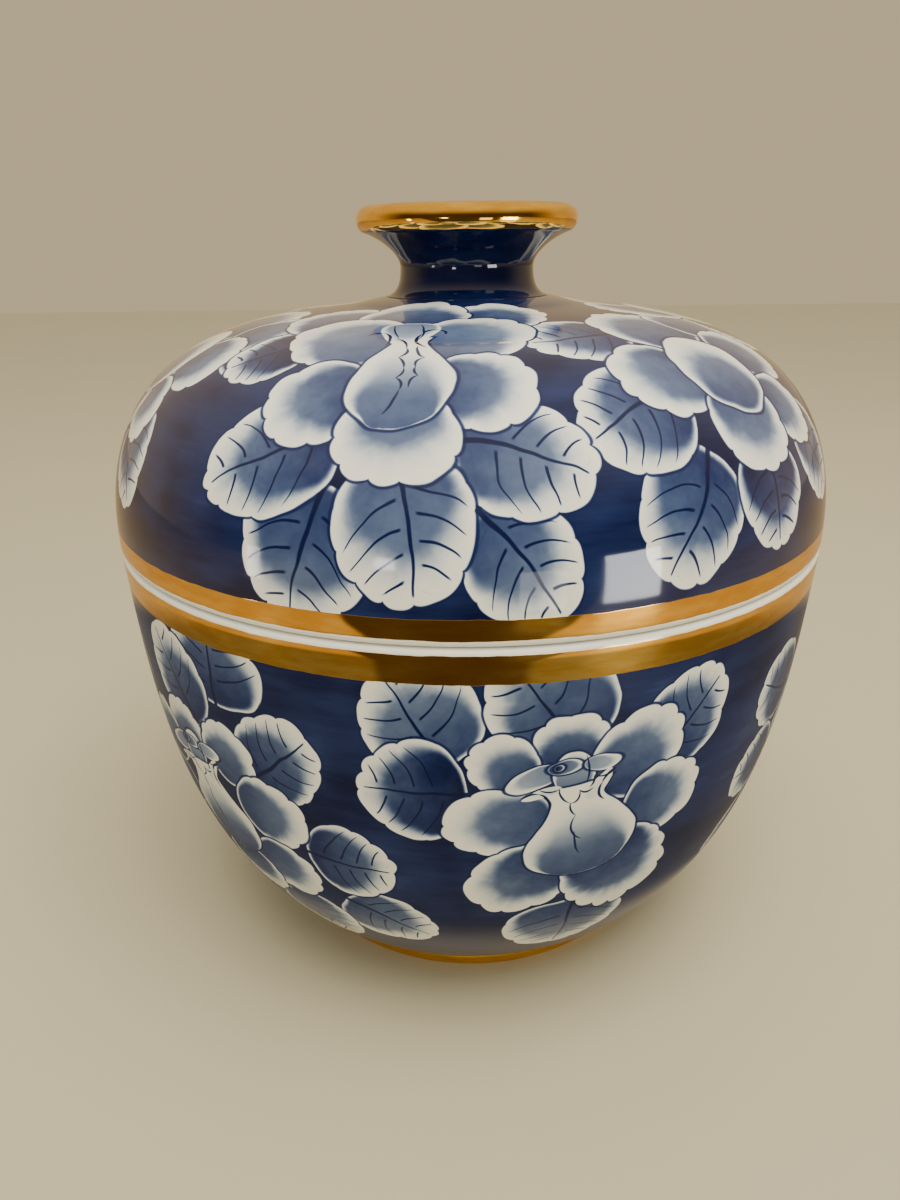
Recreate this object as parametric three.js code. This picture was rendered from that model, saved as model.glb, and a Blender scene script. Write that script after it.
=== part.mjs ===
// Covered porcelain jar: a deep bowl on a foot ring, and a domed lid with a flared, hollow knob.
// Millimetres, +Z up. The origin is the centre of the foot ring's underside, and +Z is the axis
// that every piece is turned about. The lid is shown closed, resting on the bowl's rim.

import * as THREE from 'three';

// ---- Bowl ----
const BODY_RADIUS = 120; // greatest radius of the jar, at the seam between bowl and lid
const RIM_HEIGHT = 150; // top of the bowl's rim above the shelf
const BOWL_WALL = 5; // wall at the rim
const FLOOR_THICKNESS = 6; // bowl's floor, above the foot recess
const LIP_ROUND = 1.6; // rounding on both edges of each rim at the seam

// ---- Foot ring ----
const FOOT_RADIUS = 71.2;
const FOOT_HEIGHT = 5.4;
const FOOT_WIDTH = 6.4;
const FOOT_ROUND = 1.2; // rounding of the ring's two lower edges

// ---- Lid ----
const LID_HEIGHT = 70.4; // lid's lower edge up to where the crown starts to rise to the knob
const CROWN_RADIUS = 35.5; // where the dome ends and the crown starts
const CROWN_RISE = 1.8; // crown's edge up to the knob's seat
const LID_TOP_WALL = 6; // dome under the knob's seat
const LANDING_HEIGHT = 8; // straight band inside the lid's lower edge, where the flange is luted

// ---- Locating flange inside the lid ----
const FLANGE_DEPTH = 10; // how far it drops into the bowl's mouth
const FLANGE_WALL = 4.5;
const FLANGE_ROUND = 1.5;

// ---- Knob ----
const KNOB_SEAT_RADIUS = 27; // spread of the knob's foot on the crown
const KNOB_WAIST_RADIUS = 21.9;
const KNOB_WAIST_HEIGHT = 9; // seat up to the waist
const KNOB_RIM_RADIUS = 35.8; // outermost, on the rolled lip
const KNOB_HEIGHT = 27.1; // seat up to the top of the lip
const KNOB_LIP_ROUND = 4.3; // radius of the rolled lip's section
const KNOB_WALL = 4.5;
const KNOB_FLOOR = 7; // seat up to the bottom of the cup

// ---- Fits ----
const SEAT_GAP = 0.3; // lid's lower edge over the bowl's rim
const LUTING_GAP = 0.3; // between pieces that are joined with slip before firing
const FLANGE_CLEARANCE = 1.3; // flange inside the bowl's mouth, all round

const SEGMENTS = 64;
const KNOB_SEGMENTS = 48;

// ---- Heights and radii that follow from the sizes above ----
const bowlBase = FOOT_HEIGHT + LUTING_GAP;
const bowlFloor = bowlBase + FLOOR_THICKNESS;
const mouthRadius = BODY_RADIUS - BOWL_WALL;
const lidBase = RIM_HEIGHT + SEAT_GAP;
const crownStart = lidBase + LID_HEIGHT;
const crownTop = crownStart + CROWN_RISE;
const flangeRadius = mouthRadius - FLANGE_CLEARANCE;
const landingRadius = flangeRadius + LUTING_GAP;
const knobSeat = crownTop + LUTING_GAP;

// Points along a smooth curve with two handles, the first and last included.
function bend(start, handleA, handleB, end, steps) {
  const curve = new THREE.CubicBezierCurve(
    new THREE.Vector2(...start),
    new THREE.Vector2(...handleA),
    new THREE.Vector2(...handleB),
    new THREE.Vector2(...end),
  );
  return curve.getSpacedPoints(steps);
}

// Points along a round stretch: centre, radius, and the angles in degrees it runs between.
function arc(radius, height, round, from, to, steps = 3) {
  const points = [];
  for (let i = 0; i <= steps; i += 1) {
    const angle = THREE.MathUtils.degToRad(from + ((to - from) * i) / steps);
    points.push(new THREE.Vector2(radius + round * Math.cos(angle), height + round * Math.sin(angle)));
  }
  return points;
}

function point(radius, height) {
  return [new THREE.Vector2(radius, height)];
}

// Turns an outline of radii and heights, drawn anticlockwise, into a named solid.
function turned(name, outline, segments, material) {
  const kept = outline.filter((p, i) => i === 0 || p.distanceTo(outline[i - 1]) > 0.01);
  const geometry = new THREE.LatheGeometry(kept, segments);
  geometry.rotateX(Math.PI / 2);
  const mesh = new THREE.Mesh(geometry, material);
  mesh.name = name;
  return mesh;
}

// An outline that goes all the way round a ring ends where it began.
function closed(outline) {
  return [...outline, outline[0].clone()];
}

const paintedGlaze = new THREE.MeshStandardMaterial({ color: 0x3c4f8c, roughness: 0.1, metalness: 0 });
const whiteGlaze = new THREE.MeshStandardMaterial({ color: 0xe4e6e8, roughness: 0.15, metalness: 0 });
const navyGlaze = new THREE.MeshStandardMaterial({ color: 0x141f5e, roughness: 0.08, metalness: 0 });
const gilding = new THREE.MeshStandardMaterial({ color: 0xc8903c, roughness: 0.2, metalness: 1 });

// Deep bowl: from the flat base out along a full belly to the rim, and back down inside.
function bowl() {
  const spread = BODY_RADIUS - FOOT_RADIUS;
  const rimEdge = RIM_HEIGHT - LIP_ROUND;
  const rise = rimEdge - bowlBase;
  const depth = rimEdge - bowlFloor;
  return turned(
    'jar_body',
    [
      ...point(0, bowlBase),
      ...bend(
        [FOOT_RADIUS, bowlBase],
        [FOOT_RADIUS + 0.965 * spread, bowlBase + 0.25 * rise],
        [BODY_RADIUS - 0.052 * spread, rimEdge - 0.27 * rise],
        [BODY_RADIUS, rimEdge],
        11,
      ),
      ...arc(BODY_RADIUS - LIP_ROUND, rimEdge, LIP_ROUND, 0, 90),
      ...arc(mouthRadius + LIP_ROUND, rimEdge, LIP_ROUND, 90, 180),
      ...bend(
        [mouthRadius, rimEdge],
        [mouthRadius * 0.956, rimEdge - 1.29 * depth],
        [mouthRadius * 0.303, bowlFloor],
        [0, bowlFloor],
        11,
      ),
    ],
    SEGMENTS,
    paintedGlaze,
  );
}

// Foot ring under the bowl's base, with a flat underside that the jar stands on.
function footRing() {
  const inside = FOOT_RADIUS - FOOT_WIDTH;
  return turned(
    'jar_foot_ring',
    closed([
      ...arc(FOOT_RADIUS - FOOT_ROUND, FOOT_ROUND, FOOT_ROUND, -90, 0, 2),
      ...point(FOOT_RADIUS, FOOT_HEIGHT),
      ...point(inside, FOOT_HEIGHT),
      ...arc(inside + FOOT_ROUND, FOOT_ROUND, FOOT_ROUND, 180, 270, 2),
    ]),
    SEGMENTS,
    gilding,
  );
}

// Square-shouldered dome, hollow underneath, with a low crown where the knob stands.
function lid() {
  const spread = BODY_RADIUS - CROWN_RADIUS;
  const lipTop = lidBase + LIP_ROUND;
  const landingTop = lidBase + LANDING_HEIGHT;
  const ceiling = crownTop - LID_TOP_WALL;
  const hollow = ceiling - landingTop;
  return turned(
    'lid_dome',
    [
      ...point(0, ceiling),
      ...bend(
        [0, ceiling],
        [landingRadius * 0.568, ceiling],
        [landingRadius * 0.99, landingTop + 0.89 * hollow],
        [landingRadius, landingTop],
        11,
      ),
      ...arc(landingRadius + LIP_ROUND, lipTop, LIP_ROUND, 180, 270),
      ...arc(BODY_RADIUS - LIP_ROUND, lipTop, LIP_ROUND, 270, 360),
      ...bend(
        [BODY_RADIUS, lipTop],
        [BODY_RADIUS + 0.015 * spread, lidBase + 1.02 * LID_HEIGHT],
        [CROWN_RADIUS + 0.183 * spread, lidBase + 0.952 * LID_HEIGHT],
        [CROWN_RADIUS, crownStart],
        13,
      ),
      ...point(KNOB_SEAT_RADIUS, crownTop),
      ...point(0, crownTop),
    ],
    SEGMENTS,
    paintedGlaze,
  );
}

// Ring luted inside the lid's landing. It drops into the bowl's mouth and keeps the lid centred.
function locatingFlange() {
  const top = lidBase + LANDING_HEIGHT;
  const bottom = RIM_HEIGHT - FLANGE_DEPTH;
  const inside = flangeRadius - FLANGE_WALL;
  return turned(
    'lid_locating_flange',
    closed([
      ...arc(flangeRadius - FLANGE_ROUND, bottom + FLANGE_ROUND, FLANGE_ROUND, -90, 0, 2),
      ...point(flangeRadius, top),
      ...point(inside, top - FLANGE_ROUND),
      ...arc(inside + FLANGE_ROUND, bottom + FLANGE_ROUND, FLANGE_ROUND, 180, 270, 2),
    ]),
    SEGMENTS,
    whiteGlaze,
  );
}

// Spool-shaped knob: spread foot, narrow waist, flared cup with a rolled lip, hollow on top.
function knob() {
  const waist = knobSeat + KNOB_WAIST_HEIGHT;
  const lipRadius = KNOB_RIM_RADIUS - KNOB_LIP_ROUND;
  const lipHeight = knobSeat + KNOB_HEIGHT - KNOB_LIP_ROUND;
  const flare = lipRadius - KNOB_WAIST_RADIUS;
  const underLip = arc(lipRadius, lipHeight, KNOB_LIP_ROUND, -60, -60, 1)[0];
  const cupEdge = arc(lipRadius, lipHeight, KNOB_LIP_ROUND, 160, 160, 1)[0];
  const cupFloor = knobSeat + KNOB_FLOOR;
  return turned(
    'lid_knob',
    [
      ...point(0, knobSeat),
      ...bend(
        [KNOB_SEAT_RADIUS, knobSeat],
        [KNOB_WAIST_RADIUS + 0.8, knobSeat + 0.1 * KNOB_WAIST_HEIGHT],
        [KNOB_WAIST_RADIUS, waist - 0.5 * KNOB_WAIST_HEIGHT],
        [KNOB_WAIST_RADIUS, waist],
        4,
      ),
      ...bend(
        [KNOB_WAIST_RADIUS, waist],
        [KNOB_WAIST_RADIUS, waist + 0.35 * (underLip.y - waist)],
        [underLip.x - 0.6 * flare, underLip.y - 0.18 * (underLip.y - waist)],
        [underLip.x, underLip.y],
        5,
      ),
      ...arc(lipRadius, lipHeight, KNOB_LIP_ROUND, -60, 160, 7),
      ...bend(
        [cupEdge.x, cupEdge.y],
        [KNOB_WAIST_RADIUS - KNOB_WALL, lipHeight - KNOB_WALL],
        [KNOB_WAIST_RADIUS - KNOB_WALL, cupFloor],
        [0, cupFloor],
        6,
      ),
    ],
    KNOB_SEGMENTS,
    navyGlaze,
  );
}

const jar = new THREE.Group();
jar.add(bowl(), footRing());

const cover = new THREE.Group();
cover.add(lid(), locatingFlange(), knob());

const object = new THREE.Group();
object.add(jar, cover);

export default object;
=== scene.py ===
# Covered porcelain jar: a deep bowl on a gilded foot ring, and a domed lid with a flared knob,
# painted under the glaze with peonies and leaves on a brushed cobalt ground.
# Metres, +Z up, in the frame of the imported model. The painter's measures are in millimetres.

from collections import namedtuple
from math import asin, atan2, copysign, cos, degrees, hypot, pi, radians, sin

import bpy
from mathutils import Matrix, Vector


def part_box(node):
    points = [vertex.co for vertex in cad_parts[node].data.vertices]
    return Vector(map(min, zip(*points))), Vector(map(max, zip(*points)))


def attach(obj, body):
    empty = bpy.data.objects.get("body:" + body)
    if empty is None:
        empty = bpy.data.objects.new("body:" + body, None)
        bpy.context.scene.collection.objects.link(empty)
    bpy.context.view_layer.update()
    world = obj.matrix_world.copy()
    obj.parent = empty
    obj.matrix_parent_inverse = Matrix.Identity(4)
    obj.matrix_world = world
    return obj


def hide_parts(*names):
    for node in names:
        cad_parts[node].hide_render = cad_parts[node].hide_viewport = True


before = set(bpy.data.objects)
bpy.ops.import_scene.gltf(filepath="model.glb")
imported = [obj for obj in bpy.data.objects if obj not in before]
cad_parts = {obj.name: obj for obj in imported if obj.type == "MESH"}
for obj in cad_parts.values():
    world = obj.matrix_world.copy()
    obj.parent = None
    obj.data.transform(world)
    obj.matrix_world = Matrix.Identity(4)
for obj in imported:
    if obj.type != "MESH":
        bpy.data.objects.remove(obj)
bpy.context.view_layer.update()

bpy.ops.object.select_all(action="DESELECT")

MM = 0.001

# ---- Sizes read from the frame ----
bowl_low, bowl_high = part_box("jar_body")
foot_low, foot_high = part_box("jar_foot_ring")
dome_low, dome_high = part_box("lid_dome")
flange_low, flange_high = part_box("lid_locating_flange")
knob_low, knob_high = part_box("lid_knob")

BODY_RADIUS = bowl_high.x
RIM_HEIGHT = bowl_high.z
FOOT_RADIUS = foot_high.x
FOOT_HEIGHT = foot_high.z
FLANGE_RADIUS = flange_high.x
KNOB_RADIUS = knob_high.x

# ---- Sizes that the frame does not name ----
BOWL_WALL = 5 * MM
FLOOR_THICKNESS = 6 * MM
LIP_ROUND = 1.6 * MM
FOOT_WIDTH = 6.4 * MM
FOOT_ROUND = 1.2 * MM
CROWN_RADIUS = 35.5 * MM
CROWN_RISE = 1.8 * MM
LID_TOP_WALL = 6 * MM
FLANGE_WALL = 4.5 * MM
FLANGE_ROUND = 1.5 * MM
KNOB_SEAT_RADIUS = 27 * MM
KNOB_WAIST_RADIUS = 21.9 * MM
KNOB_WAIST_HEIGHT = 9 * MM
KNOB_LIP_ROUND = 4.3 * MM
KNOB_WALL = 4.5 * MM
KNOB_FLOOR = 7 * MM
LUTING_GAP = 0.3 * MM
HAIRLINE = 0.02 * MM

# ---- Gilding, as heights in the frame ----
LID_GOLD = (dome_low.z + 1.9 * MM, dome_low.z + 7.4 * MM)
BOWL_GOLD = (RIM_HEIGHT - 9.8 * MM, RIM_HEIGHT - 1.7 * MM)
FOOT_GOLD_TOP = 4.7 * MM
KNOB_GOLD = knob_high.z - 7.5 * MM

# The painter works on a globe, its radius in mm, round a point on the jar's axis, and repeats the
# flowers three times round it.
GLOBE_RADIUS = 126.0
GLOBE_HEIGHT = RIM_HEIGHT - 42 * MM
REPEAT = 2 * pi / 3

AROUND = 192


# ======================================================================================
# Shapes
# ======================================================================================

def bend(start, handle_a, handle_b, end, steps):
    """Points along a smooth curve with two handles, the first and last included."""
    points = []
    for i in range(steps + 1):
        t = i / steps
        weights = ((1 - t) ** 3, 3 * t * (1 - t) ** 2, 3 * t * t * (1 - t), t ** 3)
        corners = (start, handle_a, handle_b, end)
        points.append(tuple(sum(w * c[k] for w, c in zip(weights, corners)) for k in (0, 1)))
    return points


def arc(radius, height, round_, start, end, steps=6):
    """Points along a round stretch, between two angles in degrees."""
    points = []
    for i in range(steps + 1):
        angle = radians(start + (end - start) * i / steps)
        points.append((radius + round_ * cos(angle), height + round_ * sin(angle)))
    return points


def turned_piece(name, outline):
    """Draws an outline of (radius, height) points and spins it once about the jar's axis."""
    bpy.ops.object.select_all(action="DESELECT")
    bpy.ops.mesh.primitive_plane_add(size=MM, location=(0, 0, 0))
    piece = bpy.context.active_object
    piece.name = name
    piece.data.name = name
    bpy.ops.object.mode_set(mode="EDIT")
    bpy.ops.mesh.select_all(action="SELECT")
    bpy.ops.mesh.merge(type="CENTER")
    here = (0.0, 0.0)
    for i, (radius, height) in enumerate(outline):
        step = (radius - here[0], 0, height - here[1])
        if i == 0:
            bpy.ops.transform.translate(value=step)
        elif hypot(step[0], step[2]) > HAIRLINE:
            bpy.ops.mesh.extrude_vertices_move(TRANSFORM_OT_translate={"value": step})
        else:
            continue
        here = (radius, height)
    bpy.ops.mesh.select_all(action="SELECT")
    bpy.ops.mesh.spin(steps=AROUND, angle=2 * pi, center=(0, 0, 0), axis=(0, 0, 1))
    bpy.ops.mesh.select_all(action="SELECT")
    bpy.ops.mesh.remove_doubles(threshold=0.01 * MM)
    bpy.ops.mesh.normals_make_consistent(inside=False)
    bpy.ops.object.mode_set(mode="OBJECT")
    bpy.ops.object.shade_smooth()
    return piece


def paint_faces(piece, materials, choose):
    """Gives the piece its materials, and each face the one that choose(face) returns."""
    for material in materials:
        piece.data.materials.append(material)
    for face in piece.data.polygons:
        face.material_index = materials.index(choose(face))


def mount_piece(piece, body, node):
    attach(piece, body)
    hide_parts(node)


def bowl_outline():
    base = bowl_low.z
    floor = base + FLOOR_THICKNESS
    rim_edge = RIM_HEIGHT - LIP_ROUND
    spread = BODY_RADIUS - FOOT_RADIUS
    rise = rim_edge - base
    depth = rim_edge - floor
    mouth = BODY_RADIUS - BOWL_WALL
    outside = bend((FOOT_RADIUS, base), (FOOT_RADIUS + 0.965 * spread, base + 0.25 * rise),
                   (BODY_RADIUS - 0.052 * spread, rim_edge - 0.27 * rise), (BODY_RADIUS, rim_edge), 56)
    inside = bend((mouth, rim_edge), (mouth * 0.956, rim_edge - 1.29 * depth),
                  (mouth * 0.303, floor), (0, floor), 48)
    return (
        [(0, base), (FOOT_RADIUS * 0.5, base)] + outside
        + arc(BODY_RADIUS - LIP_ROUND, rim_edge, LIP_ROUND, 0, 90)
        + arc(mouth + LIP_ROUND, rim_edge, LIP_ROUND, 90, 180)
        + inside
    )


def foot_outline():
    inside = FOOT_RADIUS - FOOT_WIDTH
    ring = (
        arc(FOOT_RADIUS - FOOT_ROUND, FOOT_ROUND, FOOT_ROUND, -90, 0)
        + [(FOOT_RADIUS, FOOT_HEIGHT * 0.6), (FOOT_RADIUS, FOOT_HEIGHT), (inside, FOOT_HEIGHT)]
        + arc(inside + FOOT_ROUND, FOOT_ROUND, FOOT_ROUND, 180, 270)
    )
    return ring + ring[:1]


def dome_outline():
    lip_top = dome_low.z + LIP_ROUND
    landing = FLANGE_RADIUS + LUTING_GAP
    landing_top = flange_high.z
    crown_start = dome_high.z - CROWN_RISE
    ceiling = dome_high.z - LID_TOP_WALL
    height = crown_start - dome_low.z
    hollow = ceiling - landing_top
    spread = BODY_RADIUS - CROWN_RADIUS
    inside = bend((0, ceiling), (landing * 0.568, ceiling),
                  (landing * 0.99, landing_top + 0.89 * hollow), (landing, landing_top), 48)
    outside = bend((BODY_RADIUS, lip_top), (BODY_RADIUS + 0.015 * spread, dome_low.z + 1.02 * height),
                   (CROWN_RADIUS + 0.183 * spread, dome_low.z + 0.952 * height),
                   (CROWN_RADIUS, crown_start), 56)
    return (
        inside
        + arc(landing + LIP_ROUND, lip_top, LIP_ROUND, 180, 270)
        + arc(BODY_RADIUS - LIP_ROUND, lip_top, LIP_ROUND, 270, 360)
        + outside
        + [(KNOB_SEAT_RADIUS, dome_high.z), (KNOB_SEAT_RADIUS * 0.5, dome_high.z), (0, dome_high.z)]
    )


def flange_outline():
    inside = FLANGE_RADIUS - FLANGE_WALL
    low = flange_low.z + FLANGE_ROUND
    ring = (
        arc(FLANGE_RADIUS - FLANGE_ROUND, low, FLANGE_ROUND, -90, 0)
        + [(FLANGE_RADIUS, flange_high.z), (inside, flange_high.z - FLANGE_ROUND)]
        + arc(inside + FLANGE_ROUND, low, FLANGE_ROUND, 180, 270)
    )
    return ring + ring[:1]


def knob_outline():
    seat = dome_high.z + HAIRLINE
    waist = knob_low.z + KNOB_WAIST_HEIGHT
    lip_radius = KNOB_RADIUS - KNOB_LIP_ROUND
    lip_height = knob_high.z - KNOB_LIP_ROUND
    flare = lip_radius - KNOB_WAIST_RADIUS
    lip = arc(lip_radius, lip_height, KNOB_LIP_ROUND, -60, 160, 22)
    under = lip[0]
    floor = knob_low.z + KNOB_FLOOR
    cup = KNOB_WAIST_RADIUS - KNOB_WALL
    foot = bend((KNOB_SEAT_RADIUS, seat), (KNOB_WAIST_RADIUS + 0.8 * MM, seat + 0.1 * KNOB_WAIST_HEIGHT),
                (KNOB_WAIST_RADIUS, waist - 0.5 * KNOB_WAIST_HEIGHT), (KNOB_WAIST_RADIUS, waist), 14)
    neck = bend((KNOB_WAIST_RADIUS, waist), (KNOB_WAIST_RADIUS, waist + 0.35 * (under[1] - waist)),
                (under[0] - 0.6 * flare, under[1] - 0.18 * (under[1] - waist)), under, 18)
    hollow = bend(lip[-1], (cup, lip_height - KNOB_WALL), (cup, floor), (0, floor), 20)
    return [(0, seat)] + foot + neck + lip + hollow


# ======================================================================================
# Shader wiring
# ======================================================================================

class Wire:
    """A value inside a shader tree. Arithmetic on it adds the maths nodes."""

    def __init__(self, tree, socket):
        self.tree = tree
        self.socket = socket

    def maths(self, operation, *others):
        node = self.tree.nodes.new("ShaderNodeMath")
        node.operation = operation
        for slot, value in zip(node.inputs, (self, *others)):
            plug(self.tree, slot, value)
        return Wire(self.tree, node.outputs[0])

    def __add__(self, other):
        return self.maths("ADD", other)

    def __sub__(self, other):
        return self.maths("SUBTRACT", other)

    def __mul__(self, other):
        return self.maths("MULTIPLY", other)

    def __truediv__(self, other):
        return self.maths("DIVIDE", other)

    def times_plus(self, factor, term):
        return self.maths("MULTIPLY_ADD", factor, term)

    def size(self):
        return self.maths("ABSOLUTE")


def plug(tree, slot, value):
    """Joins a wire to a socket, or sets the socket to a plain value."""
    if isinstance(value, Wire):
        tree.links.new(value.socket, slot)
    else:
        slot.default_value = value


def add(tree, kind, settings=(), inputs=(), output=0):
    """Adds a node, sets its options and inputs, and returns one output as a wire."""
    node = tree.nodes.new(kind)
    for option, value in dict(settings).items():
        setattr(node, option, value)
    for name, value in dict(inputs).items():
        plug(tree, node.inputs[name], value)
    return Wire(tree, node.outputs[output])


def split(vector):
    node = vector.tree.nodes.new("ShaderNodeSeparateXYZ")
    plug(vector.tree, node.inputs[0], vector)
    return [Wire(vector.tree, out) for out in node.outputs]


def join(tree, x, y, z=0.0):
    return add(tree, "ShaderNodeCombineXYZ", inputs={"X": x, "Y": y, "Z": z})


def step(value, low, high):
    """0 below low, 1 above high, and smooth between; low may be the greater of the two."""
    return add(value.tree, "ShaderNodeMapRange", {"interpolation_type": "SMOOTHSTEP", "clamp": False},
               {"Value": value, "From Min": low, "From Max": high})


def blend(tree, below, above, amount):
    """One number laid over another."""
    return add(tree, "ShaderNodeMix", {"data_type": "FLOAT"}, {0: amount, 2: below, 3: above})


def blend_colour(tree, below, above, amount):
    return add(tree, "ShaderNodeMix", {"data_type": "RGBA"}, {0: amount, 6: below, 7: above}, 2)


def noise(tree, vector, scale, detail=2.0, roughness=0.5, output=0):
    return add(tree, "ShaderNodeTexNoise", inputs={
        "Vector": vector, "Scale": scale, "Detail": detail, "Roughness": roughness}, output=output)


def stretched(tree, vector, amounts):
    return add(tree, "ShaderNodeMapping", inputs={"Vector": vector, "Scale": amounts})


def colour_ramp(value, stops):
    node = value.tree.nodes.new("ShaderNodeValToRGB")
    plug(value.tree, node.inputs[0], value)
    elements = node.color_ramp.elements
    while len(elements) < len(stops):
        elements.new(0.5)
    for element, (position, colour) in zip(elements, stops):
        element.position = position
        element.color = (*colour, 1)
    return Wire(value.tree, node.outputs[0])


class Group:
    """A reusable effect with named inputs and outputs: all plain numbers, except "Colour"."""

    def __init__(self, name, takes, gives):
        self.tree = bpy.data.node_groups.new(name, "ShaderNodeTree")
        for side, labels in (("INPUT", takes), ("OUTPUT", gives)):
            for label in labels:
                kind = "NodeSocketColor" if label == "Colour" else "NodeSocketFloat"
                self.tree.interface.new_socket(label, in_out=side, socket_type=kind)
        self.given = self.tree.nodes.new("NodeGroupInput")

    def __getitem__(self, label):
        return Wire(self.tree, self.given.outputs[label])

    def returns(self, **results):
        out = self.tree.nodes.new("NodeGroupOutput")
        for label, value in results.items():
            plug(self.tree, out.inputs[label], value)

    def placed(self, tree, **inputs):
        """Puts the effect in a tree with its own values, and returns its outputs by name."""
        node = tree.nodes.new("ShaderNodeGroup")
        node.node_tree = self.tree
        for label, value in inputs.items():
            plug(tree, node.inputs[label], value)
        return {out.name: Wire(tree, out) for out in node.outputs if out.name}


# ======================================================================================
# The painter's effects
# ======================================================================================

# A slow wander of the hand in mm, so that no outline is a perfect curve.
HAND_WANDER = 3.4
# The strength of drawn lines and outlines on the scale of pigment, and how much of it they cover.
DARK_LINE = 1.12
OUTLINE = 0.86
LINE_COVER = 0.92
# How far up a bud its widest part is.
BELLY = 0.36

PLACED = ("East", "North", "Below", "Across", "Up", "Turn")
WASHED = PLACED + ("Brush", "Length", "Width", "Depth", "Rim", "Line")
SCALLOPED = WASHED + ("Taper", "Lobes", "Notch")


def object_place(tree):
    return add(tree, "ShaderNodeTexCoord", output=3)


def make_flower_plane():
    """Flat painter's coordinates, in mm, round each repeat of one flower on the jar's side.

    Bearing is how far round the jar the flower is, and Lift how far up the painter's globe.
    """
    group = Group("Flower plane", ("Bearing", "Lift"), ("East", "North"))
    tree = group.tree
    place = object_place(tree)
    from_heart = add(tree, "ShaderNodeVectorMath", {"operation": "SUBTRACT"},
                     {0: place, 1: (0, 0, GLOBE_HEIGHT)})
    direction = add(tree, "ShaderNodeVectorMath", {"operation": "NORMALIZE"}, {0: from_heart})
    x, y, z = split(direction)
    out = (x * x + y * y).maths("SQRT")
    bearing = x.maths("ARCTAN2", y * -1.0)
    turn = (bearing - group["Bearing"]).maths("WRAP", REPEAT / 2, -REPEAT / 2)
    across = out * turn.maths("SINE")
    toward = out * turn.maths("COSINE")
    lift_sine = group["Lift"].maths("SINE")
    lift_cosine = group["Lift"].maths("COSINE")
    up = z * lift_cosine - toward * lift_sine
    facing = toward * lift_cosine + z * lift_sine
    spread = (facing + 1.0).maths("POWER", -1.0)
    globe_flat = join(tree, across * spread, up * spread)
    flat = stretched(tree, globe_flat, (2 * GLOBE_RADIUS,) * 3)
    hand_east, hand_north, _ = split(noise(tree, place, 75.0, 1.5, output=1))
    flat_east, flat_north, _ = split(flat)
    east = flat_east + (hand_east - 0.5) * HAND_WANDER
    north = flat_north + (hand_north - 0.5) * HAND_WANDER
    group.returns(East=east, North=north)
    return group


def make_brush():
    """How unevenly the brush leaves its pigment: soft pools, and fine hairs within them."""
    group = Group("Brush", (), ("Pull",))
    tree = group.tree
    place = object_place(tree)
    pools = noise(tree, place, 150.0, 2.0, 0.55)
    hairs = noise(tree, place, 620.0, 1.0)
    group.returns(Pull=pools.times_plus(0.8, hairs * 0.2) - 0.5)
    return group


def turned_place(group):
    """Where a point is from the shape's place, in mm: towards its tip, and to its left."""
    east = group["East"] - group["Across"]
    north = group["North"] - group["Up"]
    cosine = group["Turn"].maths("COSINE")
    sine = group["Turn"].maths("SINE")
    return east * cosine + north * sine, north * cosine - east * sine


def shape_frame(group):
    """A shape's own axes: -1 to 1 from base to tip and from side to side."""
    x, y = turned_place(group)
    along = x * 2.0 / group["Length"]
    side = y * 2.0 / group["Width"] * along.times_plus(group["Taper"], 1.0)
    return along, side


def painted_outline(group, along, side):
    """Distance in mm inside a scalloped outline, and the share of the way out to it."""
    reach = (along * along + side * side).maths("SQRT")
    angle = side.maths("ARCTAN2", along)
    own = group["Across"].times_plus(0.37, group["Up"] * 0.61)
    uneven = (angle * 2.0 + own).maths("SINE") * 0.2 + (angle * 5.0 + own).maths("SINE") * 0.06 + angle
    lobe = (uneven * group["Lobes"] * 0.5 + own).maths("SINE").size().maths("POWER", 0.6)
    towards_tip = angle.maths("COSINE").times_plus(0.75, 0.6).maths("MINIMUM", 1.0).maths("MAXIMUM", 0.0)
    outline = (lobe - 1.0).times_plus(group["Notch"] * towards_tip, 1.0)
    share = reach / outline
    half = (group["Length"] + group["Width"]) * 0.25
    return (share * -1.0 + 1.0) * half, share


def washed(group, inside, rise):
    """Pigment of a wash that is deepest at the base and fades to a white rim; rise is 0 to 1."""
    rim = group["Rim"] * step(rise, 0.1, 1.0).times_plus(1.0, 0.14)
    edge = inside + group["Brush"] * rim * 0.6
    wash = step(edge, rim * 0.05, rim * 2.1)
    shade = group["Depth"] * (rise.times_plus(-0.55, 1.2) + group["Brush"] * 0.35)
    return wash * shade


def laid_over(group, pigment, inside):
    """The shape over what is below it, with a thin dark outline round it."""
    tree = group.tree
    outline = step(inside, -1.05, -0.45) * group["Line"]
    lined = blend(tree, group["Below"], group["Below"].maths("MAXIMUM", DARK_LINE * LINE_COVER), outline)
    return blend(tree, lined, pigment, step(inside, -0.25, 0.3))


def make_petal():
    """One scalloped petal."""
    group = Group("Painted petal", SCALLOPED, ("Pigment",))
    along, side = shape_frame(group)
    inside, _ = painted_outline(group, along, side)
    wash = washed(group, inside, along.times_plus(0.5, 0.5))
    group.returns(Pigment=laid_over(group, wash, inside))
    return group


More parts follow.
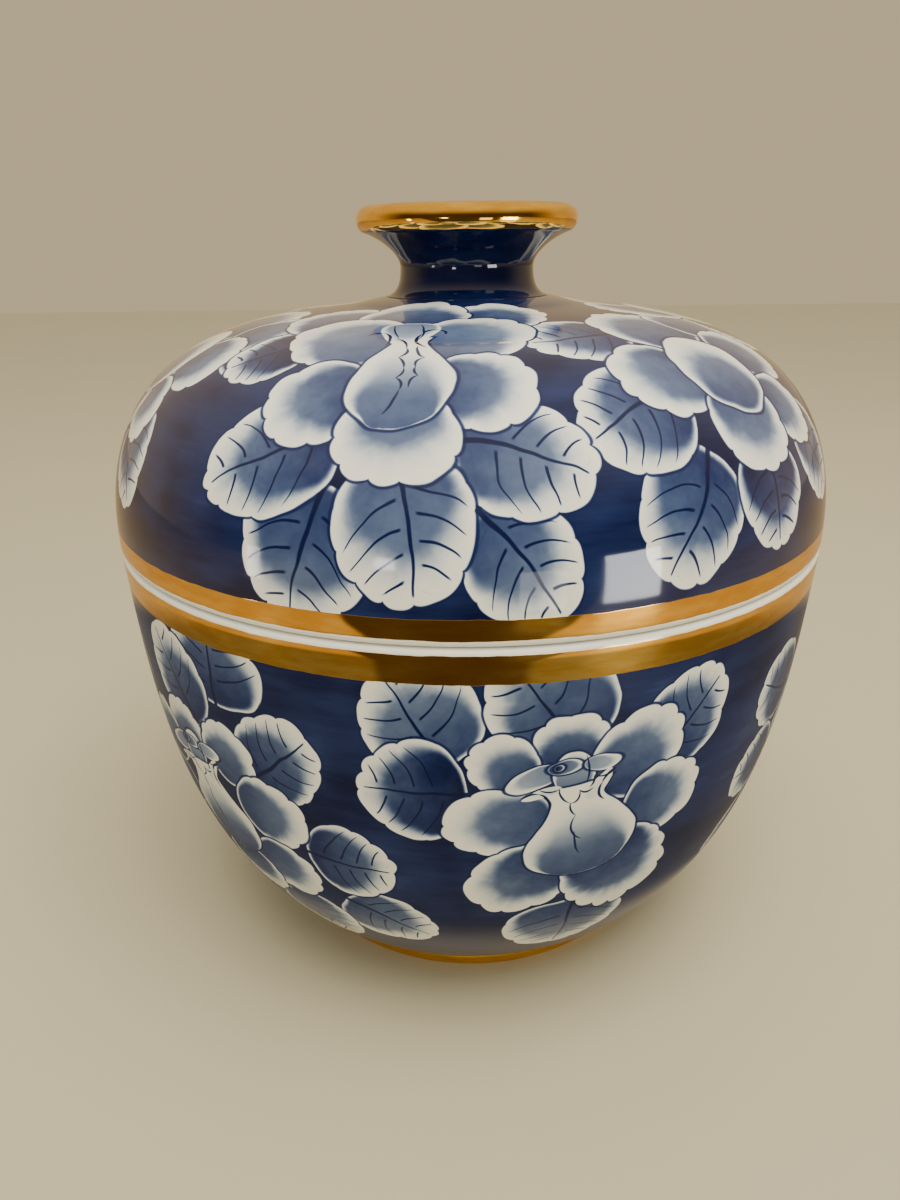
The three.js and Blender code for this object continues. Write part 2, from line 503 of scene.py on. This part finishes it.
def make_bud():
    """A closed bud shaped like a vase: round below, with a neck that opens a little at the top."""
    group = Group("Painted bud", WASHED + ("Neck",), ("Pigment",))
    x, y = turned_place(group)
    rise = x / group["Length"] + 0.5
    below_belly = (rise * -1.0 + BELLY).maths("MAXIMUM", 0.0) / BELLY
    waist = step(rise, 0.4, group["Neck"].times_plus(-0.7, 1.22)) * (group["Neck"] - 1.0) + 1.0
    waist = waist + step(rise, 0.86, 1.15) * 0.35
    half = group["Width"] * waist * 0.5
    aside = y / half
    share = (below_belly * below_belly + aside * aside).maths("SQRT")
    inside = ((share * -1.0 + 1.0) * half).maths("MINIMUM", (rise * -1.0 + 1.0) * group["Length"])
    rim = group["Rim"] * step(rise, 0.05, 0.5) + 0.2
    fill = step(inside + group["Brush"] * 1.5, rim * 0.1, rim * 1.5) * step(rise, 0.92, 0.25)
    shade = group["Depth"] * (rise.times_plus(-0.45, 1.15) + group["Brush"] * 0.3)
    group.returns(Pigment=laid_over(group, fill * shade, inside))
    return group


def make_leaf():
    """One scalloped leaf with a midrib and curved side veins."""
    group = Group("Painted leaf", SCALLOPED + ("Bow",), ("Pigment",))
    tree = group.tree
    along, side = shape_frame(group)
    inside, share = painted_outline(group, along, side)
    wash = washed(group, inside, along.times_plus(0.5, 0.5))
    off_rib = side - (along * along * -1.0 + 1.0) * group["Bow"]
    away = off_rib.size()
    rib_width = along.times_plus(-0.2, 0.42)
    rib = step(away * group["Width"] * 0.5, rib_width + 0.2, rib_width - 0.2) * step(along, 0.86, 0.8)
    # Side veins leave the rib in turn on either side and bow towards the tip.
    run = along - away * 0.08 - away * away * 0.52
    count = run * 2.9 + off_rib.maths("SIGN") * 0.25
    from_vein = (count.maths("FRACT") - 0.5).size() * group["Length"] * 0.155
    vein_width = away.times_plus(-0.2, 0.34)
    vein = step(from_vein, vein_width + 0.16, vein_width - 0.16)
    drawn = step(share, 0.92, 0.82) * step(away, 0.1, 0.16) * step(run.size(), 0.78, 0.7)
    line = rib.maths("MAXIMUM", vein * drawn)
    drawn_leaf = blend(tree, wash, DARK_LINE, line * LINE_COVER)
    group.returns(Pigment=laid_over(group, drawn_leaf, inside))
    return group


def make_stroke():
    """One tapered stroke of the liner brush, along part of a circle."""
    group = Group("Painted stroke", PLACED + ("Radius", "Sweep", "Weight"), ("Pigment",))
    tree = group.tree
    x, y = turned_place(group)
    away = ((x * x + y * y).maths("SQRT") - group["Radius"]).size()
    share = y.maths("ARCTAN2", x).size() / group["Sweep"]
    weight = group["Weight"] * (share * share * -0.9 + 1.0)
    line = step(away, weight + 0.18, weight - 0.18) * step(share, 1.05, 0.95)
    group.returns(Pigment=blend(tree, group["Below"], DARK_LINE, line * LINE_COVER))
    return group


def make_ground():
    """Pigment of the brushed cobalt ground: broad level strokes, blotches and fine hairs."""
    group = Group("Cobalt ground", (), ("Pigment",))
    tree = group.tree
    place = object_place(tree)
    strokes = noise(tree, stretched(tree, place, (28, 28, 190)), 1.0, 3.0, 0.6)
    blotches = noise(tree, place, 34.0, 2.0, 0.55)
    hairs = noise(tree, stretched(tree, place, (120, 120, 1500)), 1.0, 1.0)
    pigment = (strokes - 0.5) * 0.34 + (blotches - 0.5) * 0.5 + (hairs - 0.5) * 0.06 + 1.02
    group.returns(Pigment=pigment)
    return group


def make_gilding():
    """Colour and roughness of lustre gold, rubbed thin in places, and how much of it covers."""
    group = Group("Gilding", ("Low", "High"), ("Cover", "Colour", "Roughness"))
    tree = group.tree
    place = object_place(tree)
    height = split(place)[2]
    ragged = (noise(tree, place, 160.0, 3.0) - 0.5) * (0.7 * MM)
    edge = height + ragged
    cover = step(edge, group["Low"] - 0.08 * MM, group["Low"] + 0.08 * MM) \
        * step(edge, group["High"] + 0.08 * MM, group["High"] - 0.08 * MM)
    wear = noise(tree, stretched(tree, place, (90, 90, 400)), 1.0, 3.0, 0.6)
    colour = blend_colour(tree, (0.80, 0.43, 0.055, 1), (0.92, 0.57, 0.115, 1), step(wear, 0.35, 0.7))
    rubbed = noise(tree, place, 60.0, 3.0, 0.7)
    group.returns(Cover=cover, Colour=colour, Roughness=step(rubbed, 0.35, 0.8) * 0.07 + 0.055)
    return group


def make_glaze():
    """Height of the fired glaze: slow waves from the wheel, fine orange peel and a few pinholes."""
    group = Group("Glaze surface", (), ("Height", "Roughness"))
    tree = group.tree
    place = object_place(tree)
    waves = noise(tree, stretched(tree, place, (16, 16, 60)), 1.0, 1.0)
    peel = noise(tree, place, 420.0, 1.0)
    cells = add(tree, "ShaderNodeTexVoronoi", inputs={"Vector": place, "Scale": 260.0})
    pits = step(cells, 0.045, 0.02) * step(noise(tree, place, 55.0, 0.0), 0.6, 0.66)
    height = waves * 0.55 + peel * 0.02 - pits * 0.12
    smears = noise(tree, place, 24.0, 3.0, 0.65)
    group.returns(Height=height, Roughness=step(smears, 0.45, 0.75) * 0.05 + 0.05)
    return group


flower_plane = make_flower_plane()
brush = make_brush()
petal = make_petal()
bud = make_bud()
leaf = make_leaf()
stroke = make_stroke()
cobalt_ground = make_ground()
gilding = make_gilding()
glaze_surface = make_glaze()


# ======================================================================================
# The painted design. Places and sizes are mm from the middle of each flower, turns are degrees
# from "to the right", and what is listed first is painted first.
# ======================================================================================

Leaf = namedtuple("Leaf", "across up turn length width bow depth rim", defaults=(0.08, 0.82, 6.4))
Petal = namedtuple("Petal", "across up turn length width depth rim taper lobes notch line",
                   defaults=(0.74, 5.7, 0.0, 9, 0.1, OUTLINE))
Bud = namedtuple("Bud", "across up turn length width neck depth rim")
Stroke = namedtuple("Stroke", "across up radius turn sweep weight")
Flower = namedtuple("Flower", "bearing lift shapes")


def stroke_between(start, end, bow, weight):
    """A stroke of the liner brush that bows to the left of its run by a share of its length."""
    run = (end[0] - start[0], end[1] - start[1])
    length = hypot(*run)
    to_side = copysign(1, bow)
    aside = (-run[1] / length * to_side, run[0] / length * to_side)
    rise = abs(bow) * length
    radius = length * length / (8 * rise) + rise / 2
    across, up = (start[k] + run[k] / 2 + aside[k] * (rise - radius) for k in (0, 1))
    return Stroke(across, up, radius, degrees(atan2(aside[1], aside[0])),
                  degrees(asin(min(1, length / 2 / radius))), weight)


def line(bow, *points, weight=0.32):
    """One line of the liner brush through some points, each stretch bowed alike."""
    return [stroke_between(start, end, bow, weight) for start, end in zip(points, points[1:])]


def moved(shapes, across, up):
    return [shape._replace(across=shape.across + across, up=shape.up + up) for shape in shapes]


# The tall closed bud in the middle of the lid's flower, and the curls above its neck.
TALL_HEART = [
    Bud(-0.9, 9.5, 94.5, 35.5, 25, 0.24, 0.66, 4.6),
    Petal(-4.4, 31.2, 277, 19, 15, 0.46, 3, 0.45, 1, 0, 0),
    *line(-0.06, (-10.5, 38), (-5.6, 26.5), weight=0.24),
    *line(0.06, (-2.6, 40), (-0.6, 24), weight=0.24),
    *line(0.17, (-6.2, 26), (-1.8, 20.5), (-2.9, 16), (-0.7, 11.5), (-2.4, 7.5), (-0.6, 3)),
    *line(0.07, (-0.6, 3), (-3.6, -4)),
    *line(-0.18, (0.4, 22), (3.3, 16.5), (2.2, 12), (3.2, 8.5), (1.4, 4)),
    *line(-0.17, (-8.2, 21.5), (-11.5, 31), (-15.3, 29.2), weight=0.42),
    *line(0.2, (2.6, 21.5), (-0.6, 30.5), (3, 34.2), (5.3, 30.6), weight=0.42),
]

# The broad bud in the middle of the bowl's flowers: two petals folded over, under two arms.
BROAD_HEART = [
    Petal(-17, 29.4, 203, 17, 7.5, 0.5, 1.8, 0, 1, 0),
    Petal(-5.6, 30, 92, 15, 13, 0.56, 1.6, 0, 1, 0),
    Petal(-8.2, 32.6, 4, 10, 4.6, 0.72, 0.8, 0, 1, 0),
    Petal(-10.2, 32.6, 0, 2.6, 2.0, 1.0, 0.3, 0, 1, 0),
    Petal(3.2, 33, 5, 12, 5.4, 0.46, 1.4, 0, 1, 0),
    *line(0.05, (-2.2, 36), (-1.2, 26)),
    Bud(-1.2, 6.8, 100.5, 38.5, 36, 0.45, 0.68, 6.0),
    Petal(-14.8, 23.6, 192, 12, 3.6, 0.12, 2, 0.3, 1, 0, 0),
    Petal(2.6, 25.2, 60, 13, 4.6, 0.1, 2, 0.3, 1, 0, 0),
    *line(-0.2, (-12.8, 17), (-15.8, 23.6), (-21, 22.2), weight=0.4),
    *line(-0.2, (-15.5, 25.2), (-9.6, 24.8), (-6.2, 19.4)),
    *line(-0.12, (-6.0, 19.6), (-4.2, 14.4)),
    *line(-0.22, (-4.2, 14.4), (-0.9, 3.6)),
    *line(-0.06, (-3.9, 7.4), (-0.4, -2.4)),
    *line(-0.24, (-5.9, 19.2), (-3.4, 24.0), (1.0, 24.2)),
    *line(-0.16, (-0.2, 24.5), (0.6, 28.6), (7.4, 30.2), weight=0.3),
    *line(0.16, (4.6, 18.6), (3.4, 25.6), (7.4, 30.2), weight=0.4),
]

LID_FRONT = Flower(-10, 45, [
    Leaf(-19, -37, 250, 34, 35, -0.06, 0.78),
    Leaf(33, -36, -42, 32, 27, 0.08, 0.72, 7.5),
    Leaf(-41, 22, 200, 26, 27, 0.0, 1.02, 4.5),
    Leaf(-29, -14, 196, 39, 29, -0.05, 0.82),
    Leaf(30, -12, -8, 34, 28, 0.1, 0.72),
    Leaf(5, -31, 280, 34, 33, 0.1, 0.7, 8.5),
    Petal(-32, 50, 125, 34, 32, 0.78),
    Petal(18, 54, 65, 34, 32, 0.78),
    Petal(-8, 50, 95, 42, 36, 0.78),
    Petal(-20, 29, 142, 38, 33, 0.66),
    Petal(13, 31, 52, 38, 31, 0.66),
    Petal(-20, 1, 196, 27, 27, 0.78),
    Petal(18, 6, 6, 27, 27, 0.78, 6.5, -0.1),
    Petal(1, -9, 270, 25, 29, 0.72, 7.5, -0.12),
    *TALL_HEART,
])

LID_SIDE = Flower(50, 42, [
    Leaf(-32, 38, 165, 32, 28, 0.05),
    Leaf(38, 30, 25, 30, 27, -0.06),
    Leaf(-42, -20, 226, 35, 31, 0.08, 0.8),
    Leaf(20, -18, 305, 30, 27, -0.06, 0.8),
    Leaf(-12, -24, 268, 28, 28, 0.05, 0.98, 5),
    Leaf(-43, 7, 186, 32, 31, -0.08),
    Petal(-4, 35, 95, 32, 34),
    Petal(20, 34, 50, 30, 27),
    Petal(-26, 14, 180, 27, 27, 0.72),
    Petal(19, 15, 8, 27, 25),
    Petal(12, -5, 328, 23, 21),
    Petal(-10, -6, 268, 26, 29),
    Petal(-5, 11, 75, 30, 28, 0.72, 7.5, 0.0, 5, 0.03),
])

BOWL_FRONT = Flower(16, -12, [
    Leaf(-51, 50, 122, 36, 37, 0.08, 0.72),
    Leaf(-14, 54, 128, 40, 38, 0.08, 0.8),
    Leaf(31, 41, 45, 36, 33, -0.06, 0.84, 5),
    Leaf(-53, 24, 181, 34, 39, 0.04, 0.95, 6),
    Leaf(1, -44, 270, 36, 42, 0.0, 0.74),
    Petal(-7, 41, 96, 20, 23, 0.82, 5),
    Petal(-26, 34.5, 140, 23, 21, 0.76, 6),
    Petal(15, 33, 52, 34, 30, 0.78, 6),
    Petal(-27, 13, 184, 34, 27, 0.72, 7.5),
    Petal(26, 13, 8, 30, 29, 0.74),
    Petal(-18, -13, 228, 38, 32, 0.8, 6.5),
    Petal(14, -15, 300, 43, 38, 0.84, 8, 0.0, 13, 0.12),
    *BROAD_HEART,
])

BOWL_SIDE = Flower(-44, -10, [
    Leaf(18, 51, 85, 30, 41, 0.05),
    Leaf(-5, 39, 122, 36, 32, 0.08),
    Leaf(39, 23, 42, 35, 33, -0.06),
    Leaf(-52, 28, 160, 34, 33, 0.06),
    Leaf(61, -50, -45, 36, 33, 0.08, 0.7),
    Leaf(30, -57, 300, 34, 32, 0.06, 0.7),
    Leaf(-44, -38, 222, 34, 33, 0.06),
    Leaf(57, -17, -9, 32, 36, -0.04),
    Leaf(-54, -4, 188, 30, 31, 0.05),
    Petal(-8, 18, 100, 23, 24),
    Petal(16, 17, 56, 25, 26),
    Petal(-27, 8, 150, 26, 27),
    Petal(30, -2, 4, 30, 29),
    Petal(-29, -16, 190, 28, 27),
    Petal(27, -29, 322, 28, 28),
    Petal(-16, -36, 235, 28, 27),
    Petal(6, -39, 275, 26, 30),
    *moved(BROAD_HEART, 1, -20),
])


def paint_shape(tree, shape, place, pull):
    """Paints one shape of a flower over what is below it, and returns the pigment."""
    place = {**place, "Across": shape.across, "Up": shape.up, "Turn": radians(shape.turn)}
    if isinstance(shape, Stroke):
        laid = stroke.placed(tree, **place, Radius=shape.radius, Sweep=radians(shape.sweep),
                             Weight=shape.weight)
        return laid["Pigment"]
    wash = {**place, "Brush": pull, "Length": shape.length, "Width": shape.width,
            "Depth": shape.depth, "Rim": shape.rim, "Line": OUTLINE}
    if isinstance(shape, Bud):
        return bud.placed(tree, **wash, Neck=shape.neck)["Pigment"]
    if isinstance(shape, Leaf):
        return leaf.placed(tree, **wash, Taper=0.12, Lobes=10, Notch=0.08, Bow=shape.bow)["Pigment"]
    wash["Line"] = shape.line
    return petal.placed(tree, **wash, Taper=shape.taper, Lobes=shape.lobes, Notch=shape.notch)["Pigment"]


def paint_flower(tree, flower, pull, ground):
    """Paints one flower with its leaves over the ground, and returns the pigment."""
    plane = flower_plane.placed(tree, Bearing=radians(flower.bearing), Lift=radians(flower.lift))
    pigment = ground
    for shape in flower.shapes:
        pigment = paint_shape(tree, shape, {**plane, "Below": pigment}, pull)
    return pigment


# ======================================================================================
# Materials
# ======================================================================================

# From bare white to the deepest blue, by the strength of the pigment as a share of the strongest.
COBALT = (
    (0.0, (0.90, 0.895, 0.79)),
    (0.16, (0.57, 0.625, 0.665)),
    (0.32, (0.255, 0.32, 0.43)),
    (0.47, (0.105, 0.15, 0.262)),
    (0.6, (0.042, 0.067, 0.16)),
    (0.72, (0.013, 0.025, 0.096)),
    (0.86, (0.003, 0.007, 0.042)),
    (1.0, (0.001, 0.002, 0.016)),
)
STRONGEST = 1.29
# Further up or down than any piece, for gold that has only one edge.
BEYOND = 1.0
WHITE_GLAZE = (0.87, 0.865, 0.81, 1)
BARE_CLAY = (0.83, 0.82, 0.78, 1)


def new_material(name):
    material = bpy.data.materials.new(name)
    material.use_nodes = True
    material.node_tree.nodes.clear()
    return material, material.node_tree


def finish_material(tree, colour, roughness, height, metallic=0.0, relief=0.04 * MM):
    """The surface itself. Height runs from 0 to about 1, and relief is how deep that is."""
    surface = tree.nodes.new("ShaderNodeBsdfPrincipled")
    surface.inputs["IOR"].default_value = 1.5
    plug(tree, surface.inputs["Base Color"], colour)
    plug(tree, surface.inputs["Roughness"], roughness)
    plug(tree, surface.inputs["Metallic"], metallic)
    bump = add(tree, "ShaderNodeBump", inputs={"Height": height, "Distance": relief, "Strength": 1.0})
    plug(tree, surface.inputs["Normal"], bump)
    out = tree.nodes.new("ShaderNodeOutputMaterial")
    tree.links.new(surface.outputs[0], out.inputs[0])


def gilt_finish(tree, colour, low, high, raised=0.4):
    """Glazed colour with a band of gold lustre over it, between two heights."""
    gold_band = gilding.placed(tree, Low=low, High=high)
    glaze = glaze_surface.placed(tree)
    cover = gold_band["Cover"]
    finish_material(
        tree,
        blend_colour(tree, colour, gold_band["Colour"], cover),
        blend(tree, glaze["Roughness"], gold_band["Roughness"], cover),
        glaze["Height"] + cover * raised,
        metallic=cover,
    )


def painted_glaze(name, flowers, gold, white_side):
    """Painted and glazed porcelain with one gold band. Beyond the band, white_side is bare white."""
    material, tree = new_material(name)
    pigment = cobalt_ground.placed(tree)["Pigment"]
    pull = brush.placed(tree)["Pull"]
    for flower in flowers:
        pigment = paint_flower(tree, flower, pull, pigment)
    height = split(object_place(tree))[2]
    band_middle = sum(gold) / 2
    painted = step(height, band_middle - white_side * 0.5 * MM, band_middle + white_side * 0.5 * MM)
    gilt_finish(tree, colour_ramp(pigment * painted / STRONGEST, COBALT), *gold)
    return material


def white_glaze():
    """Clear glaze on white porcelain, faintly blue where it pools, with a few iron specks."""
    material, tree = new_material("white_glaze")
    place = object_place(tree)
    pools = noise(tree, place, 22.0, 3.0)
    tint = blend_colour(tree, WHITE_GLAZE, (0.71, 0.76, 0.79, 1), step(pools, 0.4, 0.75))
    cells = add(tree, "ShaderNodeTexVoronoi", inputs={"Vector": place, "Scale": 190.0})
    specks = step(cells, 0.05, 0.02) * step(noise(tree, place, 40.0, 0.0), 0.62, 0.68)
    colour = blend_colour(tree, tint, (0.22, 0.15, 0.09, 1), specks * 0.7)
    glaze = glaze_surface.placed(tree)
    finish_material(tree, colour, glaze["Roughness"], glaze["Height"])
    return material


def bare_clay():
    """Unglazed biscuit where pieces rest: dry, slightly sandy and a little stained."""
    material, tree = new_material("bare_clay")
    place = object_place(tree)
    stains = noise(tree, place, 80.0, 4.0, 0.6)
    colour = blend_colour(tree, BARE_CLAY, (0.66, 0.58, 0.46, 1), step(stains, 0.5, 0.8) * 0.6)
    grit = noise(tree, place, 2200.0, 2.0)
    rings = noise(tree, stretched(tree, place, (8, 8, 1800)), 1.0, 2.0)
    roughness = grit * 0.15 + 0.55
    finish_material(tree, colour, roughness, grit * 0.6 + rings * 0.5, relief=0.05 * MM)
    return material


def navy_glaze(gold_low):
    """Deep plain cobalt glaze on the knob, with its lip gilded."""
    material, tree = new_material("navy_glaze")
    place = object_place(tree)
    strokes = noise(tree, stretched(tree, place, (60, 60, 260)), 1.0, 3.0, 0.6)
    pigment = strokes * 0.25 + 0.96
    gilt_finish(tree, colour_ramp(pigment / STRONGEST, COBALT), gold_low, BEYOND)
    return material


def gilded_foot():
    """Gold round the outside of the foot ring, with a white line of glaze left above it."""
    material, tree = new_material("gilded_foot")
    gilt_finish(tree, WHITE_GLAZE, -BEYOND, FOOT_GOLD_TOP, raised=0)
    return material


def plain_floor():
    """A plain pale floor. Glaze and gold see it, in reflections only, as a painted tabletop: painted
    light at the jar's foot and at its far sides, painted shade between them, and painted dark in front
    where it ends."""
    material, tree = new_material("pale_floor")
    place = object_place(tree)
    mottle = noise(tree, place, 9.0, 3.0)
    shade = blend_colour(tree, (0.54, 0.495, 0.335, 1), (0.51, 0.465, 0.315, 1), mottle)
    x, y, _ = split(place)
    in_front = y * -1.0 - (x + 0.03).size() * 0.9
    away = (x * x + y * y).maths("SQRT")
    mirrored = add(tree, "ShaderNodeLightPath", output="Is Glossy Ray")
    # Painted reflection for glossy rays only: painted shade near the jar, painted light far out at the
    # sides, painted dark in front, and a painted pool of light round the foot.
    painted_table_reflection = blend_colour(tree, (0.115, 0.105, 0.09, 1), (0.42, 0.31, 0.165, 1), step(away, 0.35, 0.39))
    painted_table_reflection = blend_colour(tree, painted_table_reflection, (0.03, 0.018, 0.01, 1), step(in_front, 0.2, 0.225))
    painted_table_reflection = blend_colour(tree, painted_table_reflection, (0.55, 0.48, 0.33, 1), step(away, 0.11, 0.085))
    colour = blend_colour(tree, shade, painted_table_reflection, mirrored)
    finish_material(tree, colour, 0.55, noise(tree, place, 900.0, 2.0), relief=0.05 * MM)
    return material


# ======================================================================================
# Pieces
# ======================================================================================

lid_paint = painted_glaze("lid_painting", (LID_SIDE, LID_FRONT), LID_GOLD, 1)
bowl_paint = painted_glaze("bowl_painting", (BOWL_SIDE, BOWL_FRONT), BOWL_GOLD, -1)
white = white_glaze()
clay = bare_clay()
navy = navy_glaze(KNOB_GOLD)
foot_gold = gilded_foot()


def outward(face):
    """How far a face looks away from the jar's axis."""
    flat = Vector((face.center.x, face.center.y, 0))
    return face.normal.dot(flat.normalized()) if flat.length > 0.1 * MM else 0.0


def bowl_face(face):
    if face.center.z < bowl_low.z + 0.2 * MM:
        return clay
    if face.center.z > RIM_HEIGHT - 0.35 * MM:
        return white
    return bowl_paint if outward(face) > 0.3 else white


def dome_face(face):
    inner = FLANGE_RADIUS + 1.5 * MM
    if hypot(face.center.x, face.center.y) < inner and face.normal.z < 0.02 and outward(face) < 0.3:
        return white
    if face.center.z < dome_low.z + 0.35 * MM:
        return clay
    if face.normal.z < 0 and outward(face) < -0.05:
        return white
    return lid_paint


def foot_face(face):
    if face.normal.z < -0.8 or outward(face) < 0.1:
        return clay
    return foot_gold


bowl = turned_piece("bowl", bowl_outline())
paint_faces(bowl, [bowl_paint, white, clay], bowl_face)
mount_piece(bowl, "jar", "jar_body")

foot = turned_piece("foot_ring", foot_outline())
paint_faces(foot, [foot_gold, clay], foot_face)
mount_piece(foot, "jar", "jar_foot_ring")

dome = turned_piece("lid", dome_outline())
paint_faces(dome, [lid_paint, white, clay], dome_face)
mount_piece(dome, "lid", "lid_dome")

flange = turned_piece("flange", flange_outline())
paint_faces(flange, [white], lambda face: white)
mount_piece(flange, "lid", "lid_locating_flange")

knob = turned_piece("knob", knob_outline())
paint_faces(knob, [navy], lambda face: navy)
mount_piece(knob, "lid", "lid_knob")


# ======================================================================================
# Floor, light and camera
# ======================================================================================

def add_floor():
    bpy.ops.mesh.primitive_plane_add(size=6, location=(0, 0, 0))
    floor = bpy.context.active_object
    floor.name = "floor"
    floor.data.materials.append(plain_floor())


def add_light(name, place, target, size, watts, colour, mirrored):
    """A soft light panel that either lights the room or is only mirrored in glaze and gold."""
    bpy.ops.object.light_add(type="AREA", location=place)
    light = bpy.context.active_object
    light.name = name
    light.data.shape = "RECTANGLE"
    light.data.size, light.data.size_y = size
    light.data.energy = watts
    light.data.color = colour
    aim = Vector(target) - Vector(place)
    light.rotation_euler = aim.to_track_quat("-Z", "Y").to_euler()
    light.visible_camera = False
    light.visible_glossy = mirrored
    light.visible_diffuse = not mirrored


PANEL_REACH = 0.5
PANEL_AIM = RIM_HEIGHT + 16 * MM


def add_panel(name, bearing, lift, size, radiance, colour):
    """A small standing panel in front of the jar, seen in the glaze as a window."""
    angle = radians(bearing)
    out = BODY_RADIUS + PANEL_REACH * cos(radians(lift))
    place = (out * sin(angle), -out * cos(angle), PANEL_AIM + PANEL_REACH * sin(radians(lift)))
    watts = radiance * pi * size[0] * size[1]
    add_light(name, place, (0, 0, PANEL_AIM), size, watts, colour, mirrored=True)


# Light from all round, and what the camera sees behind the jar.
AMBIENT = (0.86, 0.79, 0.66, 1)
BACKDROP = (0.56, 0.455, 0.275, 1)


def add_world():
    """Soft warm light from all round. The glaze mirrors a dim room in front and warm walls behind."""
    world = bpy.data.worlds.new("room")
    world.use_nodes = True
    tree = world.node_tree
    _, y, z = split(add(tree, "ShaderNodeTexCoord", output="Generated"))
    walls = blend_colour(tree, (0.075, 0.05, 0.032, 1), (0.70, 0.50, 0.24, 1), step(y, -0.45, 0.35))
    room = blend_colour(tree, walls, (0.90, 0.72, 0.46, 1), step(z, 0.25, 0.9))
    mirrored = add(tree, "ShaderNodeLightPath", output="Is Glossy Ray")
    seen = add(tree, "ShaderNodeLightPath", output="Is Camera Ray")
    colour = blend_colour(tree, blend_colour(tree, AMBIENT, room, mirrored), BACKDROP, seen)
    plug(tree, tree.nodes["Background"].inputs["Color"], colour)
    bpy.context.scene.world = world


def add_camera():
    """A wide phone lens held close, a little to the front of the jar and looking down on it."""
    bpy.ops.object.camera_add(location=(0, -2.516 * BODY_RADIUS, RIM_HEIGHT + 0.753 * BODY_RADIUS))
    camera = bpy.context.active_object
    pitch, yaw, roll = radians(-23.03), radians(-1.32), radians(-0.757)
    turn = Matrix.Rotation(-yaw, 3, "Z") @ Matrix.Rotation(pi / 2 + pitch, 3, "X")
    camera.rotation_euler = (turn @ Matrix.Rotation(roll, 3, "Z")).to_euler()
    camera.data.sensor_width = 36
    camera.data.lens = 25.63
    camera.data.clip_start = 0.01
    bpy.context.scene.camera = camera


add_floor()
add_light("softbox", (0.25, -0.55, 1.5), (0, 0, 0.1), (1.1, 0.9), 27, (1.0, 0.93, 0.81), mirrored=False)
add_panel("window", 43, -7, (0.17, 0.18), 15, (1.0, 1.0, 1.0))
add_panel("doorway", 19, -9, (0.13, 0.15), 3.0, (1.0, 0.95, 0.85))
add_panel("pane", -58, -5, (0.045, 0.11), 9, (1.0, 0.95, 0.92))
add_panel("lamp", -21, 3, (0.055, 0.045), 14, (1.0, 0.97, 0.92))
add_world()
add_camera()
